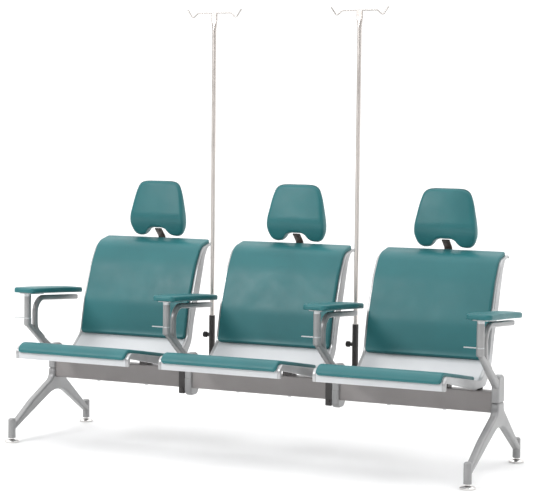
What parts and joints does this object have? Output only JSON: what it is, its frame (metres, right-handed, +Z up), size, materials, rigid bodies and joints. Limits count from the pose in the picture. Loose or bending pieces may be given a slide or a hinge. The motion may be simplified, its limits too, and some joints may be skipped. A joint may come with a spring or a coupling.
{
  "type": "infusion chair row with drip poles",
  "caption": "Beam-mounted row of padded seats with headrests, lifting arm pads and height-adjustable drip poles clamped behind it.",
  "frame": {"origin": "on the floor at the middle of the bounding box of the whole row, between the four levelling feet", "axes": "+X along the beam to the sitter's left as seen from behind (the right of someone facing the row), +Y to the rear, +Z up"},
  "size_m": [2.034, 0.7394, 1.7446],
  "materials": {
    "pad_green": "self-skinned foam pad, satin teal green with a fine leather grain",
    "shell_grey": "light grey powder coat on bent sheet steel",
    "frame_grey": "light grey powder coat on cast aluminium",
    "casting_grey": "silver-grey powder coat on cast aluminium",
    "beam_grey": "warm grey powder coat on rectangular steel tube",
    "bracket_black": "satin black paint on steel",
    "stainless": "drawn stainless steel, polished along its length",
    "chrome": "bright nickel-chrome plate",
    "black_plastic": "black moulded nylon",
    "rubber_black": "black rubber",
    "zinc": "zinc-plated steel"
  },
  "bodies": {
    "row": {"beam": "beam_grey", "leg_left": "casting_grey", "leg_right": "casting_grey", "clamp_caps": "casting_grey", "beam_screws": "zinc", "arm_sleeves": "casting_grey", "arm_1": "casting_grey", "arm_2": "casting_grey", "arm_3": "casting_grey", "arm_4": "casting_grey", "seat_mounts": "bracket_black", "mount_pads": "rubber_black", "seat_bolts": "zinc", "headrest_guides": "bracket_black", "seat_shell_1": "shell_grey", "side_frames_1": "frame_grey", "seat_pad_1": "pad_green", "back_pad_1": "pad_green", "seat_shell_2": "shell_grey", "side_frames_2": "frame_grey", "seat_pad_2": "pad_green", "back_pad_2": "pad_green", "seat_shell_3": "shell_grey", "side_frames_3": "frame_grey", "seat_pad_3": "pad_green", "back_pad_3": "pad_green", "clamp_plates": "bracket_black", "clamp_bolts": "bracket_black", "pole_bracket_1": "bracket_black", "pole_bracket_2": "bracket_black"},
    "foot_left_front": {"glide_left_front": "chrome"},
    "foot_left_rear": {"glide_left_rear": "chrome"},
    "foot_right_front": {"glide_right_front": "chrome"},
    "foot_right_rear": {"glide_right_rear": "chrome"},
    "armrest_1": {"arm_spindle_1": "zinc", "arm_pad_1": "pad_green"},
    "lever_1": {"lock_lever_1": "zinc"},
    "armrest_2": {"arm_spindle_2": "zinc", "arm_pad_2": "pad_green"},
    "lever_2": {"lock_lever_2": "zinc"},
    "armrest_3": {"arm_spindle_3": "zinc", "arm_pad_3": "pad_green"},
    "lever_3": {"lock_lever_3": "zinc"},
    "armrest_4": {"arm_spindle_4": "zinc", "arm_pad_4": "pad_green"},
    "lever_4": {"lock_lever_4": "zinc"},
    "head_1": {"headrest_stem_1": "bracket_black", "headrest_1": "pad_green"},
    "head_2": {"headrest_stem_2": "bracket_black", "headrest_2": "pad_green"},
    "head_3": {"headrest_stem_3": "bracket_black", "headrest_3": "pad_green"},
    "bush_1": {"pole_bush_1": "black_plastic"},
    "pole_1": {"iv_pole_1": "stainless", "bag_hook_1": "stainless"},
    "knob_1": {"pole_knob_1": "black_plastic"},
    "bush_2": {"pole_bush_2": "black_plastic"},
    "pole_2": {"iv_pole_2": "stainless", "bag_hook_2": "stainless"},
    "knob_2": {"pole_knob_2": "black_plastic"}
  },
  "joints": [
    {"name": "level_left_front", "type": "slide", "parent": "row", "child": "foot_left_front", "axis": [0, 0, -1], "range_m": [0, 0.012]},
    {"name": "level_left_rear", "type": "slide", "parent": "row", "child": "foot_left_rear", "axis": [0, 0, -1], "range_m": [0, 0.012]},
    {"name": "level_right_front", "type": "slide", "parent": "row", "child": "foot_right_front", "axis": [0, 0, -1], "range_m": [0, 0.012]},
    {"name": "level_right_rear", "type": "slide", "parent": "row", "child": "foot_right_rear", "axis": [0, 0, -1], "range_m": [0, 0.012]},
    {"name": "arm_lift_1", "type": "slide", "parent": "row", "child": "armrest_1", "axis": [0, 0, 1], "range_m": [0, 0.05]},
    {"name": "lever_turn_1", "type": "hinge", "parent": "row", "child": "lever_1", "pos_m": [-0.953, -0.17127, 0.49], "axis": [0, 0, 1], "range_deg": [0, 75]},
    {"name": "arm_lift_2", "type": "slide", "parent": "row", "child": "armrest_2", "axis": [0, 0, 1], "range_m": [0, 0.05]},
    {"name": "lever_turn_2", "type": "hinge", "parent": "row", "child": "lever_2", "pos_m": [-0.313, -0.17127, 0.49], "axis": [0, 0, 1], "range_deg": [0, 75]},
    {"name": "arm_lift_3", "type": "slide", "parent": "row", "child": "armrest_3", "axis": [0, 0, 1], "range_m": [0, 0.05]},
    {"name": "lever_turn_3", "type": "hinge", "parent": "row", "child": "lever_3", "pos_m": [0.327, -0.17127, 0.49], "axis": [0, 0, 1], "range_deg": [0, 75]},
    {"name": "arm_lift_4", "type": "slide", "parent": "row", "child": "armrest_4", "axis": [0, 0, 1], "range_m": [0, 0.05]},
    {"name": "lever_turn_4", "type": "hinge", "parent": "row", "child": "lever_4", "pos_m": [0.967, -0.17127, 0.49], "axis": [0, 0, 1], "range_deg": [0, 75]},
    {"name": "head_slide_1", "type": "slide", "parent": "row", "child": "head_1", "axis": [0, 0.5736, 0.8192], "range_m": [0, 0.05]},
    {"name": "head_slide_2", "type": "slide", "parent": "row", "child": "head_2", "axis": [0, 0.5736, 0.8192], "range_m": [0, 0.05]},
    {"name": "head_slide_3", "type": "slide", "parent": "row", "child": "head_3", "axis": [0, 0.5736, 0.8192], "range_m": [0, 0.05]},
    {"name": "pole_turn_1", "type": "hinge", "parent": "row", "child": "bush_1", "pos_m": [-0.342, 0.27074, 0.49], "axis": [0, 0, 1], "continuous": true},
    {"name": "pole_lift_1", "type": "slide", "parent": "bush_1", "child": "pole_1", "axis": [0, 0, 1], "range_m": [0, 0.12]},
    {"name": "knob_turn_1", "type": "hinge", "parent": "row", "child": "knob_1", "pos_m": [-0.342, 0.27074, 0.412], "axis": [-1, 0, 0], "range_deg": [0, 540]},
    {"name": "pole_turn_2", "type": "hinge", "parent": "row", "child": "bush_2", "pos_m": [0.298, 0.27074, 0.49], "axis": [0, 0, 1], "continuous": true},
    {"name": "pole_lift_2", "type": "slide", "parent": "bush_2", "child": "pole_2", "axis": [0, 0, 1], "range_m": [0, 0.12]},
    {"name": "knob_turn_2", "type": "hinge", "parent": "row", "child": "knob_2", "pos_m": [0.298, 0.27074, 0.412], "axis": [-1, 0, 0], "range_deg": [0, 540]}
  ]
}
